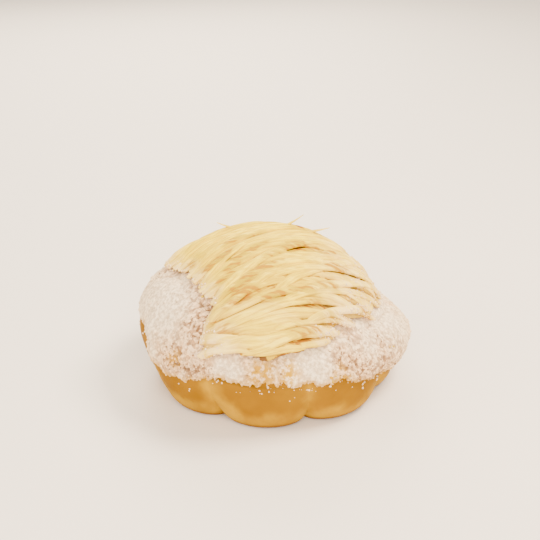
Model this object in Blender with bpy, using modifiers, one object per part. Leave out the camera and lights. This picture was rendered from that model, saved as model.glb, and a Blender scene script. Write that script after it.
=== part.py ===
"""Ensaimada, a coiled sweet bun baked in a fluted tin.

Three solids: the bun with its fluted side and domed top, the coat of buttercream and sugar that
covers the dome, and the heap of cheese shreds on the coat. Metres, +Z up, origin at the middle of
the foot on the surface that the bun stands on. The shown front faces -Y.
"""

import math
import random

import bmesh
import bpy
from mathutils import Vector, noise

# Bun: the fluted side rises from a flat foot to the rim, and the dome rises from the rim.
VALLEYS = (19, 64, 109, 154, 199, 243, 288, 334)  # degrees round the bun from +X
FLUTE_SOFTNESS = 0.10  # 0 makes the valleys between the lobes sharp
FLUTE_BREADTH = 0.45  # below 1 makes the lobes broad and the valleys narrow
FLUTE_DEPTH = 0.18  # share of the radius at the foot
FLUTE_FADE = 0.012  # height over which the valleys lose most of their depth
FOOT_RADIUS = 0.0437
RIM_RADIUS = 0.0520
RIM_HEIGHT = 0.0215
BUN_HEIGHT = 0.0525
LIP = 0.0050  # how far the dome spills over the rim on the right
LIP_ANGLE = math.radians(12)
SLUMP = 3.2  # the right side sags and the left side stands up by this share a metre
SLACK = 0.0045  # how far the right shoulder of the dome has sunk
LEFT_SLACK = 0.0020  # and the left one
LEAN = -0.0020  # shift of the rim and the dome along X
COIL_DEPTH = 0.0013  # groove between the turns of the dough
COIL_TURNS = 2.2

# Coat of buttercream and sugar.
COAT_THICKNESS = 0.0017
COAT_LUMPS = 0.0009
COAT_EDGE = (  # degrees round the bun and the height of the edge there
    (5, 0.0155),
    (100, 0.0210),
    (196, 0.0255),
    (213, 0.0178),
    (226, 0.0168),
    (253, 0.0220),
    (282, 0.0226),
    (322, 0.0188),
    (340, 0.0140),
)
COAT_EDGE_RAGGED = 0.0008
CLEARANCE = 0.0005

# Cheese shreds, cut on a coarse grater.
SHRED_COUNT = 44
SHRED_WIDTH = 0.0036
SHRED_THICKNESS = 0.0020
SHRED_LENGTHS = (0.036, 0.074)
SHRED_STATIONS = 11
SHRED_WANDER = 6  # degrees, how far a shred strays from the others' heading
SPREAD_ACROSS = 0.754878  # steps that spread any number of shreds evenly over the heap
SPREAD_ALONG = 0.569840
HEAP_CENTRE = (0.002, -0.006)
HEAP_SPINE = ((0.004, -0.0472), (-0.024, 0.027))  # the line that every shred's lane crosses
LANE_STEP = 0.001
SLANT = 24  # degrees that the shreds turn back from +X
STEEPER = 10  # and this much more left of the middle
STEEP_PLACE = -0.008
STEEP_REACH = 0.012
FRONT_SLANT = -10  # the least slant, where they follow the front of the outline
HEAP_OUTLINE = (  # degrees round the heap and its reach there
    (8, 0.0445),
    (24, 0.0405),
    (52, 0.0380),
    (90, 0.0340),
    (125, 0.0410),
    (154, 0.0465),
    (186, 0.0336),
    (206, 0.0320),
    (230, 0.0338),
    (235, 0.0464),
    (244, 0.0453),
    (259, 0.0433),
    (289, 0.0399),
    (318, 0.0362),
    (350, 0.0417),
)
WISPS = (  # where a thin shred leaves the heap, where its tip is, and the tip's lift
    ((-0.0090, 0.0110), (-0.0178, 0.012), 0.0055),
    ((0.0015, 0.0105), (0.0107, 0.012), 0.0088),
    ((0.0080, 0.0105), (0.0206, 0.012), 0.0074),
)
HEAP_CORE = 0.0024
CORE_REACH = 0.86
HEAP_LAYERS = 0.0026  # how far the topmost shreds lie over the core
HEAP_LIFT = 0.0014  # over the coat's mean face, which clears its lumps
THINNER = 0.65  # share by which the heap is thinner on the left
SHRED_SINK = 0.0008
WISP_WIDTH = 0.0020
WISP_THICKNESS = 0.0012
WISP_REST = 0.0015
SEED = 8

# Mesh rings: the foot, the bare side below the coat's edge, and the coated part above it.
SEGMENTS = 8 * len(VALLEYS)
FOOT_RINGS = 2
SIDE_RINGS = 6
COATED_RINGS = 9


def smooth(low, high, value):
    """0 below low, 1 above high, and an even S-curve between."""
    share = min(1.0, max(0.0, (value - low) / (high - low)))
    return share * share * (3 - 2 * share)


def ring_span(marks, angle):
    """The two marks of a ring, in degrees, that an angle lies between, and how far along."""
    turned = math.degrees(angle) % 360
    after = sum(mark <= turned for mark in marks) % len(marks)
    low, high = marks[after - 1], marks[after]
    return after - 1, after, ((turned - low) % 360) / ((high - low) % 360)


def round_value(table, angle):
    """Reads between the values that a table gives at some degrees of a ring."""
    before, after, share = ring_span([mark for mark, _ in table], angle)
    blend = smooth(0, 1, share)
    return table[before][1] * (1 - blend) + table[after][1] * blend


def flute(angle):
    """1 on the crest of a lobe and 0 in the valley between two lobes."""
    share = ring_span(VALLEYS, angle)[2]
    softened = math.hypot(math.sin(math.pi * share), FLUTE_SOFTNESS) - FLUTE_SOFTNESS
    crest = math.hypot(1, FLUTE_SOFTNESS) - FLUTE_SOFTNESS
    return (softened / crest) ** FLUTE_BREADTH


def lip(angle):
    """How far the dome hangs over the fluted side at this angle."""
    facing = max(0.0, math.cos(angle - LIP_ANGLE))
    return LIP * facing**6


def coil(angle, turn_share):
    """Depth of the groove that the rolled dough leaves, where turn_share is 0 at the apex."""
    phase = (turn_share * COIL_TURNS * 2 * math.pi - angle) / 2
    return COIL_DEPTH * math.exp(-((math.cos(phase) / 0.24) ** 2)) * smooth(0.25, 0.5, turn_share)


def settle(point):
    """The bun's sag to the right and the lean of its apex, which leave the foot flat."""
    rise = point.z / BUN_HEIGHT
    sagged = point.z * (1 - SLUMP * point.x * (1 - rise**3))
    sagged -= SLACK * smooth(0, 0.040, point.x) * smooth(0.4, 0.7, rise)
    sagged -= LEFT_SLACK * smooth(-0.012, -0.040, point.x) * smooth(0.45, 0.65, rise)
    return Vector((point.x + LEAN * smooth(0, 0.4, rise), point.y, sagged))


def side_point(angle, height_share):
    """A point of the fluted side, from the foot at 0 to the rim at 1."""
    height = RIM_HEIGHT * height_share
    bulge = math.sqrt(1 - (1 - height_share) ** 2)
    radius = FOOT_RADIUS + (RIM_RADIUS - FOOT_RADIUS) * bulge
    radius *= 1 - FLUTE_DEPTH * math.exp(-height / FLUTE_FADE) * (1 - flute(angle))
    radius += lip(angle) * smooth(0.35, 0.9, height_share)
    return settle(Vector((radius * math.cos(angle), radius * math.sin(angle), height)))


def dome_point(angle, rise, folds=1.0):
    """A point of the dome, from the rim at 0 to the apex at 1. With folds at 0 it is even."""
    turn = rise * math.pi / 2
    groove = folds * coil(angle, 1 - rise)
    faint = FLUTE_DEPTH * math.exp(-RIM_HEIGHT / FLUTE_FADE) * (1 - flute(angle)) * (1 - rise)
    faint *= folds
    radius = RIM_RADIUS * (1 - faint) + lip(angle) * (1 - rise) ** 2
    height = RIM_HEIGHT + (BUN_HEIGHT - RIM_HEIGHT - groove) * math.sin(turn)
    across = (radius - groove) * math.cos(turn)
    return settle(Vector((across * math.cos(angle), across * math.sin(angle), height)))


def even_dome(angle, rise):
    """A point of the dome without the coil's groove and the valleys, which the heap bridges."""
    return dome_point(angle, rise, folds=0.0)


def bun_point(angle, climb):
    """A point of the bun's skin. climb runs from -1 at the foot to 0 at the rim and 1 at the apex."""
    if climb >= 0:
        return dome_point(angle, climb)
    return side_point(angle, 1 - math.cos((1 + climb) * math.pi / 2))


def outward(surface, angle, climb):
    """The unit normal of a surface function that takes an angle and a climb."""
    step = 0.01
    low, high = max(-1.0, climb - step), min(1.0 - step, climb + step)
    around = surface(angle + step, (low + high) / 2) - surface(angle - step, (low + high) / 2)
    upward = surface(angle, high) - surface(angle, low)
    return around.cross(upward).normalized()


def coat_edge(angle):
    """The climb at which the coat's lower edge lies."""
    where = Vector((math.cos(angle), math.sin(angle), 0.3)) * 4.5
    ragged = noise.noise(where) + 0.6 * noise.noise(where * 2.3)
    height = round_value(COAT_EDGE, angle) + COAT_EDGE_RAGGED * ragged
    if height < RIM_HEIGHT:
        return 2 / math.pi * math.acos(1 - height / RIM_HEIGHT) - 1
    return 2 / math.pi * math.asin((height - RIM_HEIGHT) / (BUN_HEIGHT - RIM_HEIGHT))


def coat_thickness(angle, climb):
    """The coat's depth, which is lumpy and thins towards its edge."""
    where = bun_point(angle, climb) * 70
    lumps = noise.noise(where) + 0.5 * noise.noise(where * 2.1)
    above_edge = smooth(0, 0.25, climb - coat_edge(angle))
    return (COAT_THICKNESS + COAT_LUMPS * lumps) * (0.55 + 0.45 * above_edge)


def ring_climbs(angle):
    """The climb of each ring above the foot, so that one ring follows the coat's edge."""
    edge = coat_edge(angle)
    bare = [-1 + (edge + 1) * (k / SIDE_RINGS) ** 0.85 for k in range(SIDE_RINGS)]
    coated = [edge + (1 - edge) * k / COATED_RINGS for k in range(COATED_RINGS)]
    return bare + coated


def sphere_rings(mesh):
    """The vertices of a UV sphere as its lowest pole, its rings from below, and its top pole."""
    vertices = sorted(mesh.verts, key=lambda v: v.co.z)
    rings = [vertices[k : k + SEGMENTS] for k in range(1, len(vertices) - 1, SEGMENTS)]
    for ring in rings:
        ring.sort(key=lambda v: (math.atan2(v.co.y, v.co.x) + 0.01) % math.tau)
    return vertices[0], rings, vertices[-1]


def material(name, colour, roughness):
    """A Principled material with one colour."""
    made = bpy.data.materials.new(name)
    made.use_nodes = True
    shader = made.node_tree.nodes["Principled BSDF"]
    shader.inputs["Base Color"].default_value = (*colour, 1)
    shader.inputs["Roughness"].default_value = roughness
    return made


def add_object(name, mesh, collection, finish=None):
    """Turns a bmesh into an object in a collection."""
    data = bpy.data.meshes.new(name)
    mesh.to_mesh(data)
    mesh.free()
    data.shade_smooth()
    made = bpy.data.objects.new(name, data)
    collection.objects.link(made)
    if finish:
        data.materials.append(finish)
    return made


def ring_angle(index):
    """The angle round the bun of one vertex of a ring."""
    return math.tau * index / SEGMENTS


def split_quads(mesh):
    """Splits the four-sided faces along like diagonals, so that the coat fits the bun."""
    quads = [face for face in mesh.faces if len(face.verts) == 4]
    bmesh.ops.triangulate(mesh, faces=quads, quad_method="FIXED")


def make_bun(collection):
    """The bun: a sphere's rings moved onto the foot, the fluted side and the dome."""
    mesh = bmesh.new()
    ring_count = FOOT_RINGS - 1 + SIDE_RINGS + COATED_RINGS
    bmesh.ops.create_uvsphere(mesh, u_segments=SEGMENTS, v_segments=ring_count + 1, radius=1)
    bottom, rings, top = sphere_rings(mesh)
    bottom.co = (0, 0, 0)
    top.co = bun_point(0, 1)
    for index in range(SEGMENTS):
        angle = ring_angle(index)
        foot = bun_point(angle, -1)
        for k in range(FOOT_RINGS - 1):
            rings[k][index].co = foot * (k + 1) / FOOT_RINGS
        for k, climb in enumerate(ring_climbs(angle)):
            rings[k + FOOT_RINGS - 1][index].co = bun_point(angle, climb)
    split_quads(mesh)
    return add_object("bun", mesh, collection, material("crust", (0.80, 0.36, 0.03), 0.5))


def make_coat(collection):
    """The coat: the bun's coated rings lifted off it, as an open cap that Solidify thickens."""
    mesh = bmesh.new()
    bmesh.ops.create_uvsphere(mesh, u_segments=SEGMENTS, v_segments=COATED_RINGS + 2, radius=1)
    bottom, rings, top = sphere_rings(mesh)
    surplus = [bottom, *rings[0]]
    rings = rings[1:]
    weights = {}
    for index in range(SEGMENTS):
        angle = ring_angle(index)
        climbs = ring_climbs(angle)[SIDE_RINGS:]
        for ring, climb in zip(rings, climbs):
            lift = outward(bun_point, angle, climb) * CLEARANCE
            ring[index].co = bun_point(angle, climb) + lift
            weights[ring[index]] = coat_thickness(angle, climb)
    top.co = bun_point(0, 1) + Vector((0, 0, CLEARANCE))
    weights[top] = coat_thickness(0, 1)
    bmesh.ops.delete(mesh, geom=surplus, context="VERTS")
    split_quads(mesh)
    mesh.verts.index_update()
    thickest = COAT_THICKNESS + 1.5 * COAT_LUMPS
    shares = [(v.index, depth / thickest) for v, depth in weights.items()]
    coat = add_object("sugar_coat", mesh, collection, material("sugar", (0.80, 0.72, 0.62), 0.9))
    group = coat.vertex_groups.new(name="depth")
    for vertex, share in shares:
        group.add([vertex], share, "REPLACE")
    shell = coat.modifiers.new("thickness", "SOLIDIFY")
    shell.thickness = thickest
    shell.offset = 1
    shell.vertex_group = group.name
    return coat


def plan_to_dome(x, y):
    """The angle and rise of the dome's point above a place in plan."""
    angle = math.atan2(y, x)
    share = min(0.995, math.hypot(x, y) / (RIM_RADIUS + lip(angle)))
    return angle, 2 / math.pi * math.acos(share)


def heap_reach(x, y):
    """0 at the middle of the heap and 1 on its outline."""
    across, back = x - HEAP_CENTRE[0], y - HEAP_CENTRE[1]
    return math.hypot(across, back) / round_value(HEAP_OUTLINE, math.atan2(back, across))


def fullness(x):
    """How thick the heap is at a place across it, as a share of its thickness in the middle."""
    return 1 - THINNER * smooth(-0.012, -0.035, x)


def in_heap(angle, reach):
    """The place in plan at an angle round the heap and a share of its reach there."""
    radius = reach * round_value(HEAP_OUTLINE, angle)
    return Vector((
        HEAP_CENTRE[0] + radius * math.cos(angle),
        HEAP_CENTRE[1] + radius * math.sin(angle),
    ))


def edge_course(x, y):
    """The way that the heap's outline runs beside a place in plan, in degrees."""
    step = 0.0005
    across = heap_reach(x + step, y) - heap_reach(x - step, y)
    back = heap_reach(x, y + step) - heap_reach(x, y - step)
    return math.degrees(math.atan2(across, -back))


def heading(x, y):
    """The way that the shreds run in plan: slanting back, more so on the left, and along the front."""
    left = math.exp(-(((x - STEEP_PLACE) / STEEP_REACH) ** 2)) * smooth(-0.040, -0.030, y)
    slant = SLANT + STEEPER * left
    in_front = smooth(-0.020, -0.036, y) * smooth(0.026, 0.008, x)
    by_edge = smooth(0.72, 0.95, heap_reach(x, y)) * in_front
    return math.radians(slant + (max(FRONT_SLANT, edge_course(x, y)) - slant) * by_edge)


def over_coat(x, y, lift):
    """The point at a height over the coat, measured along the dome's normal, and the normal."""
    angle, rise = plan_to_dome(x, y)
    normal = outward(even_dome, angle, rise)
    return even_dome(angle, rise) + normal * (CLEARANCE + COAT_THICKNESS + lift), normal


def make_heap_core(collection):
    """The smaller core of the heap, a thick cap that follows the coat."""
    mesh = bmesh.new()
    bmesh.ops.create_uvsphere(mesh, u_segments=32, v_segments=10, radius=1)
    for vertex in mesh.verts:
        reach = CORE_REACH * math.hypot(vertex.co.x, vertex.co.y)
        place = in_heap(math.atan2(vertex.co.y, vertex.co.x), reach)
        lift = HEAP_LIFT + HEAP_CORE * fullness(place.x) * (0.5 + 0.5 * vertex.co.z)
        vertex.co = over_coat(place.x, place.y, lift)[0]
    return add_object("cheese_shreds", mesh, collection, material("cheese", (0.9, 0.7, 0.3), 0.5))


def lane(start, off_course):
    """Plan points of a lane that follows the heading through a start and crosses the heap."""
    points = [start]
    for way in (1, -1):
        while True:
            last = points[-1] if way == 1 else points[0]
            course = heading(last.x, last.y) + off_course
            moved = last + Vector((math.cos(course), math.sin(course))) * LANE_STEP * way
            if heap_reach(moved.x, moved.y) > 1:
                break
            points = [*points, moved] if way == 1 else [moved, *points]
    return points


def lane_stretch(draw, index, wander, length, stations):
    """Plan points of one shred, a stretch of a lane. The index spreads them over the heap evenly."""
    start = Vector(HEAP_SPINE[0]).lerp(Vector(HEAP_SPINE[1]), index * SPREAD_ACROSS % 1)
    points = lane(start, math.radians(draw.gauss(0, wander)))
    steps = min(len(points) - 1, int(length / LANE_STEP))
    place = min(1, max(0, 1.3 * (index * SPREAD_ALONG % 1) - 0.15))
    first = int(place * (len(points) - 1 - steps))
    return [points[first + round(steps * k / (stations - 1))] for k in range(stations)]


def ribbon(collection, name, path, lifts, width, thickness, roll=0.0):
    """A strip of one row of faces along plan points at heights over the coat, made thick."""
    mesh = bmesh.new()
    bmesh.ops.create_grid(mesh, x_segments=len(path) - 1, y_segments=1, size=1)
    columns = sorted(mesh.verts, key=lambda v: (round(v.co.x, 4), v.co.y))
    for k, (place, lift) in enumerate(zip(path, lifts)):
        centre, normal = over_coat(place.x, place.y, lift)
        before, after = path[max(0, k - 1)], path[min(len(path) - 1, k + 1)]
        course = (after - before).to_3d().normalized()
        across = normal.cross(course).normalized()
        across = across * math.cos(roll) + normal * math.sin(roll)
        centre += normal * abs(math.sin(roll)) * width / 2
        tip = 0.55 + 0.45 * smooth(0, 0.12, min(k, len(path) - 1 - k) / (len(path) - 1))
        for vertex, side in zip(columns[2 * k : 2 * k + 2], (-1, 1)):
            vertex.co = centre + across * side * width / 2 * tip
    bmesh.ops.recalc_face_normals(mesh, faces=mesh.faces)
    mesh.faces.ensure_lookup_table()
    if mesh.faces[0].normal.z < 0:
        bmesh.ops.reverse_faces(mesh, faces=mesh.faces)
    strip = add_object(name, mesh, collection)
    shell = strip.modifiers.new("thickness", "SOLIDIFY")
    shell.thickness = thickness
    shell.offset = 1


def make_shred(collection, draw, index):
    """One shred of the heap, lying on the core or on the shreds below it."""
    length = draw.uniform(*SHRED_LENGTHS)
    path = lane_stretch(draw, index, SHRED_WANDER, length, SHRED_STATIONS)
    layer = draw.random()
    roll = math.radians(draw.gauss(0, 9))
    lifts = []
    for place in path:
        reach = min(1.0, heap_reach(place.x, place.y))
        crown = HEAP_CORE * (1 - reach**4) + layer * HEAP_LAYERS * (1 - reach**3)
        lifts.append(HEAP_LIFT + max(0.0, crown * fullness(place.x) - SHRED_SINK))
    ribbon(collection, f"shred_{index:02d}", path, lifts, SHRED_WIDTH, SHRED_THICKNESS, roll)


def make_wisp(collection, index, start, tip, lift):
    """A thin shred that leaves the top of the heap and ends in the air."""
    start, tip = Vector(start), Vector(tip)
    shares = [k / 5 for k in range(6)]
    path = [start.lerp(tip, share) for share in shares]
    rest = HEAP_LIFT + HEAP_CORE + WISP_REST
    lifts = [rest + (lift - WISP_REST) * share**2 for share in shares]
    ribbon(collection, f"wisp_{index}", path, lifts, WISP_WIDTH, WISP_THICKNESS)


def keep_largest_shell(mesh):
    """Drops loose scraps and the skins of sealed hollows, which leaves one solid."""
    shells, seen = [], set()
    for start in mesh.verts:
        if start in seen:
            continue
        shell, front = {start}, [start]
        while front:
            for edge in front.pop().link_edges:
                for vertex in edge.verts:
                    if vertex not in shell:
                        shell.add(vertex)
                        front.append(vertex)
        seen |= shell
        shells.append(shell)
    largest = max(shells, key=len)
    spare = [v for shell in shells if shell is not largest for v in shell]
    bmesh.ops.delete(mesh, geom=spare, context="VERTS")


def fuse(base, pieces):
    """Joins every object of a collection to the base by one Boolean union, and applies it."""
    union = base.modifiers.new("fuse", "BOOLEAN")
    union.operation = "UNION"
    union.operand_type = "COLLECTION"
    union.collection = pieces
    union.solver = "MANIFOLD"
    graph = bpy.context.evaluated_depsgraph_get()
    fused = bpy.data.meshes.new_from_object(base.evaluated_get(graph))
    base.modifiers.clear()
    base.data = fused
    for piece in list(pieces.objects):
        bpy.data.objects.remove(piece)
    bpy.data.collections.remove(pieces)
    mesh = bmesh.new()
    mesh.from_mesh(fused)
    keep_largest_shell(mesh)
    mesh.to_mesh(fused)
    mesh.free()


def main():
    for old in list(bpy.data.objects):
        bpy.data.objects.remove(old)
    parts = bpy.data.collections.new("ensaimada")
    shreds = bpy.data.collections.new("shreds")
    bpy.context.scene.collection.children.link(parts)
    bpy.context.scene.collection.children.link(shreds)
    make_bun(parts)
    make_coat(parts)
    heap = make_heap_core(parts)
    draw = random.Random(SEED)
    for index in range(SHRED_COUNT):
        make_shred(shreds, draw, index)
    for index, (start, tip, lift) in enumerate(WISPS):
        make_wisp(shreds, index, start, tip, lift)
    fuse(heap, shreds)


main()
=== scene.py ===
"""The looks of an ensaimada: a golden fluted crust, a coat of buttercream and sugar that thins out
at its edge, a heap of grated cheese, and the crumbs that fell off. Metres, in the part's own frame.
"""

import math
import random

import bmesh
import bpy
import numpy as np
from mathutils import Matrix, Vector, noise
from mathutils.bvhtree import BVHTree


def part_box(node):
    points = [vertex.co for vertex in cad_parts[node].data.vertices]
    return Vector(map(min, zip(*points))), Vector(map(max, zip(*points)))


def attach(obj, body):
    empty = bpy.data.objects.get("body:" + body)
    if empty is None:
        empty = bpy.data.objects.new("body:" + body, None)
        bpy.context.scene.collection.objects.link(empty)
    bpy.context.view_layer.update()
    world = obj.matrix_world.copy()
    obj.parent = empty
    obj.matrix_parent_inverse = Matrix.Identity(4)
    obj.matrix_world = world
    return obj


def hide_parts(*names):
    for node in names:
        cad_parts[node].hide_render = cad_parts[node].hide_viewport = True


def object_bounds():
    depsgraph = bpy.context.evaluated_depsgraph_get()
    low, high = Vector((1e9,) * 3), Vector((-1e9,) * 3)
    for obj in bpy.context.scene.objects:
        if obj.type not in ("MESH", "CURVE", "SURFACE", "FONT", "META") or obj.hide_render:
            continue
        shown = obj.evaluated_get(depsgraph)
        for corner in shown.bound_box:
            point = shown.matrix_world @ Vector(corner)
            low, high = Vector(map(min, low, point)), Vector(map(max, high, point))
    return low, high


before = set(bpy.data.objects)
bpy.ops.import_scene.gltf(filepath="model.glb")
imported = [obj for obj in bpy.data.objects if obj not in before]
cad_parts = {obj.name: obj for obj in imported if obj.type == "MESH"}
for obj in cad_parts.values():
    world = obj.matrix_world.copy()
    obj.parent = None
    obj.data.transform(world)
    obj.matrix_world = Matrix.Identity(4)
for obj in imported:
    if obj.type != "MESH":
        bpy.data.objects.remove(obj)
cad_box = [list(corner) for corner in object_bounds()]

# Bun: the same form as its CAD solid.
VALLEYS = (19, 64, 109, 154, 199, 243, 288, 334)  # degrees round the bun from +X
FLUTE_SOFTNESS = 0.10  # 0 makes the valleys between the lobes sharp
FLUTE_BREADTH = 0.45  # below 1 makes the lobes broad and the valleys narrow
FLUTE_DEPTH = 0.18  # share of the radius at the foot
FLUTE_FADE = 0.012  # height over which the valleys lose most of their depth
FOOT_RADIUS = 0.0437
RIM_RADIUS = 0.0520
RIM_HEIGHT = 0.0215
BUN_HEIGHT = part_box("bun")[1].z
LIP = 0.0050  # how far the dome spills over the rim on the right
LIP_ANGLE = math.radians(12)
SLUMP = 3.2  # the right side sags and the left side stands up by this share a metre
SLACK = 0.0045  # how far the right shoulder of the dome has sunk
LEFT_SLACK = 0.0020  # and the left one
LEAN = -0.0020  # shift of the rim and the dome along X
COIL_DEPTH = 0.0013  # groove between the turns of the dough
COIL_WIDTH = 0.24  # share of a turn's width
COIL_TURNS = 2.2

# Coat of buttercream and sugar.
COAT_THICKNESS = 0.0017
COAT_LUMPS = 0.0009
COAT_EDGE = (  # degrees round the bun and the height of the edge there
    (5, 0.0155),
    (100, 0.0210),
    (196, 0.0255),
    (213, 0.0178),
    (226, 0.0168),
    (253, 0.0220),
    (282, 0.0226),
    (322, 0.0188),
    (340, 0.0140),
)
COAT_EDGE_RAGGED = 0.0008
CLEARANCE = 0.0005  # under the coat and over it, as in the CAD solids, which stand apart
INNER_CLEARANCE = 0.0002  # between the crust and the inner face of the coat here
CRUMBLED_EDGE = 0.0010  # how far the edge wanders from one crumb to the next
EDGE_NOTCHES = ((303, 5.0, 0.0020), (228, 3.0, 0.0008), (200, 4.0, 0.0012), (95, 6.0, 0.0016))
DUSTED_BAND = 0.0016  # reach of the crumbs that fell below the edge
EDGE_ROUNDING = 0.05  # climb over which the coat rises from its edge
THIN_REACH = 0.07  # climb over which the crust tints the thin sugar by the edge

# Cheese shreds, cut on a coarse grater.
SEED = 8
BROAD_COUNT = 60
BROAD_WIDTHS = (0.0032, 0.0046)
SHRED_LENGTHS = (0.036, 0.074)
SHRED_WANDER = 6  # degrees, how far a shred strays from the others' heading
THIN_COUNT = 14
THIN_WIDTHS = (0.0018, 0.0030)
THIN_LENGTHS = (0.024, 0.060)
THIN_WANDER = 8
SHRED_ROLL = 9  # degrees, how far a shred leans over
FLATNESS = 0.5  # a shred's thickness as a share of its width
STATIONS = 19  # points along a shred
PATCH_COUNT = 24  # at most this many more shreds cover bare spots
BARE_WINDOW = 5  # cells across a spot
BARE_SHARE = 0.5  # of a spot's cells, which makes it bare
BARE_LAYER = 0.0003  # less than this over the core counts as bare
END_PRESS = 0.85  # share of its thickness that a shred's end presses into what is under it
EASED_PRESS = 0.45  # and by how much less the rest of it does
MOST_PRESS = 0.0006  # a stiff shred sinks no further than this into a crest
BENDING = (0.12, 0.22, 0.32, 0.22, 0.12)  # how stiffly a shred follows what is under it
SPREAD_ACROSS = 0.754878  # steps that spread any number of shreds evenly over the heap
SPREAD_ALONG = 0.569840
HEAP_CENTRE = (0.002, -0.006)
HEAP_SPINE = ((0.004, -0.0472), (-0.024, 0.027))  # the line that every shred's lane crosses
LANE_STEP = 0.001
SLANT = 24  # degrees that the shreds turn back from +X
STEEPER = 10  # and this much more left of the middle
STEEP_PLACE = -0.008
STEEP_REACH = 0.012
FRONT_SLANT = -10  # the least slant, where they follow the front of the outline
HEAP_OUTLINE = (  # degrees round the heap and its reach there
    (8, 0.0445),
    (24, 0.0405),
    (52, 0.0380),
    (90, 0.0340),
    (125, 0.0410),
    (154, 0.0465),
    (186, 0.0336),
    (206, 0.0320),
    (230, 0.0338),
    (235, 0.0464),
    (244, 0.0453),
    (259, 0.0433),
    (289, 0.0399),
    (318, 0.0362),
    (350, 0.0417),
)
WISPS = (  # where a thin shred leaves the heap, where its tip is, and the tip's lift
    ((-0.0090, 0.0110), (-0.0178, 0.012), 0.0055),
    ((0.0015, 0.0105), (0.0107, 0.012), 0.0088),
    ((0.0080, 0.0105), (0.0206, 0.012), 0.0074),
)
HEAP_CORE = 0.0024  # the CAD solid's core at its thickest
HEAP_LIFT = 0.0014  # over the coat's mean face, which clears its lumps
LOWEST_LIFT = HEAP_LIFT - 0.0004  # of a shred, away from its ends
END_LIFT = 0.0001  # the ends of the lowest shreds rest in the sugar
THINNER = 0.65  # share by which the heap is thinner on the left
CORE_RISE = 0.0008  # the core stands this much higher than the CAD solid's, under laid shreds
RIGHT_RISE = 0.0032  # and this much more at the back on the right
CORE_SPREAD = 0.94  # it also reaches further out
WISP_WIDTH = 0.0020
WISP_THICKNESS = 0.0012
WISP_REST = 0.0015  # over the core, where a wisp leaves the heap
WISP_STEPS = 10

# Grids in plan, for the pile of shreds and for how deep a place lies in it.
PLAN_HALF = 0.065
PILE_CELL = 0.0005
CREST_CELL = 0.0006
# how deep a place lies sets the painted highlight on the cheese's crests and the painted shade in its
# gaps
DEEP_GAP = 0.0030  # a place this far under the crests counts as deepest
NARROW_GAP = 0.0006  # if it also lies this far under what is right beside it
OPEN_RECESS = 0.22  # otherwise it counts as no deeper than this

# Sugar on the cheese: a middle, or where it begins, and a reach.
DUSTY_ROWS = (-0.0415, 0.0040)  # along Y, on the shreds in front
DUSTY_RIGHT = (0.012, 0.020)  # along X
CLEAN_FRONT = (0.002, 0.015)  # along X, where the front edge stays clean
CLEAN_BACK = -0.03  # and how far back

# Soft round patches of the coat: degrees round the bun, climb, reach and strength.
BARE_PATCHES = (  # the bread shows through
    (268, 0.13, 0.0055, 0.90),
    (279, 0.13, 0.0045, 1.00),
    (302, 0.10, 0.0040, 0.60),
    (303, -0.02, 0.0050, 0.80),
    (227, 0.06, 0.0040, 0.70),
    (120, 0.12, 0.0060, 0.70),
    (60, 0.10, 0.0050, 0.70),
    (20, 0.10, 0.0045, 0.60),
)
PALE_PATCHES = (  # the crust is paler here
    (249, -0.55, 0.0090, 0.9),
    (255, -0.75, 0.0080, 0.8),
    (209, -0.30, 0.0060, 0.6),
    (338, -0.60, 0.0070, 0.6),
    (30, -0.50, 0.0090, 0.7),
    (120, -0.60, 0.0100, 0.7),
)
CHEESE_PATCHES = (  # bits of cheese lie here
    (224, 0.53, 0.0022, 1.0),
    (233, 0.38, 0.0020, 1.0),
    (338, 0.12, 0.0024, 0.9),
    (300, 0.02, 0.0040, 0.5),
    (150, 0.30, 0.0030, 0.8),
    (70, 0.35, 0.0030, 0.8),
)
MOTTLED_PATCHES = (  # butter has soaked into the sugar
    (218, 0.55, 0.0075, 0.9),
    (231, 0.47, 0.0095, 1.0),
    (235, 0.34, 0.0095, 1.0),
    (226, 0.07, 0.0095, 0.9),
    (238, 0.04, 0.0085, 0.8),
    (220, 0.18, 0.0070, 0.5),
    (230, 0.17, 0.0080, 0.6),
    (305, 0.17, 0.0080, 0.9),
    (315, 0.10, 0.0090, 1.0),
    (330, 0.10, 0.0095, 1.0),
    (341, 0.05, 0.0080, 0.9),
    (319, 0.34, 0.0060, 1.0),
    (267, 0.16, 0.0090, 0.6),
    (176, 0.46, 0.0070, 0.5),
    (100, 0.20, 0.0120, 0.8),
    (140, 0.30, 0.0110, 0.7),
    (45, 0.15, 0.0120, 0.8),
)
WHITE_PATCHES = (  # the sugar lies thick and smooth
    (208, 0.36, 0.0170, 1.0),
    (190, 0.30, 0.0150, 0.9),
    (254, 0.10, 0.0060, 0.9),
    (274, 0.14, 0.0025, 0.8),
    (292, 0.18, 0.0075, 0.9),
    (324, 0.30, 0.0100, 0.9),
    (346, 0.26, 0.0150, 0.9),
    (80, 0.25, 0.0120, 0.8),
    (160, 0.20, 0.0120, 0.9),
)
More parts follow.
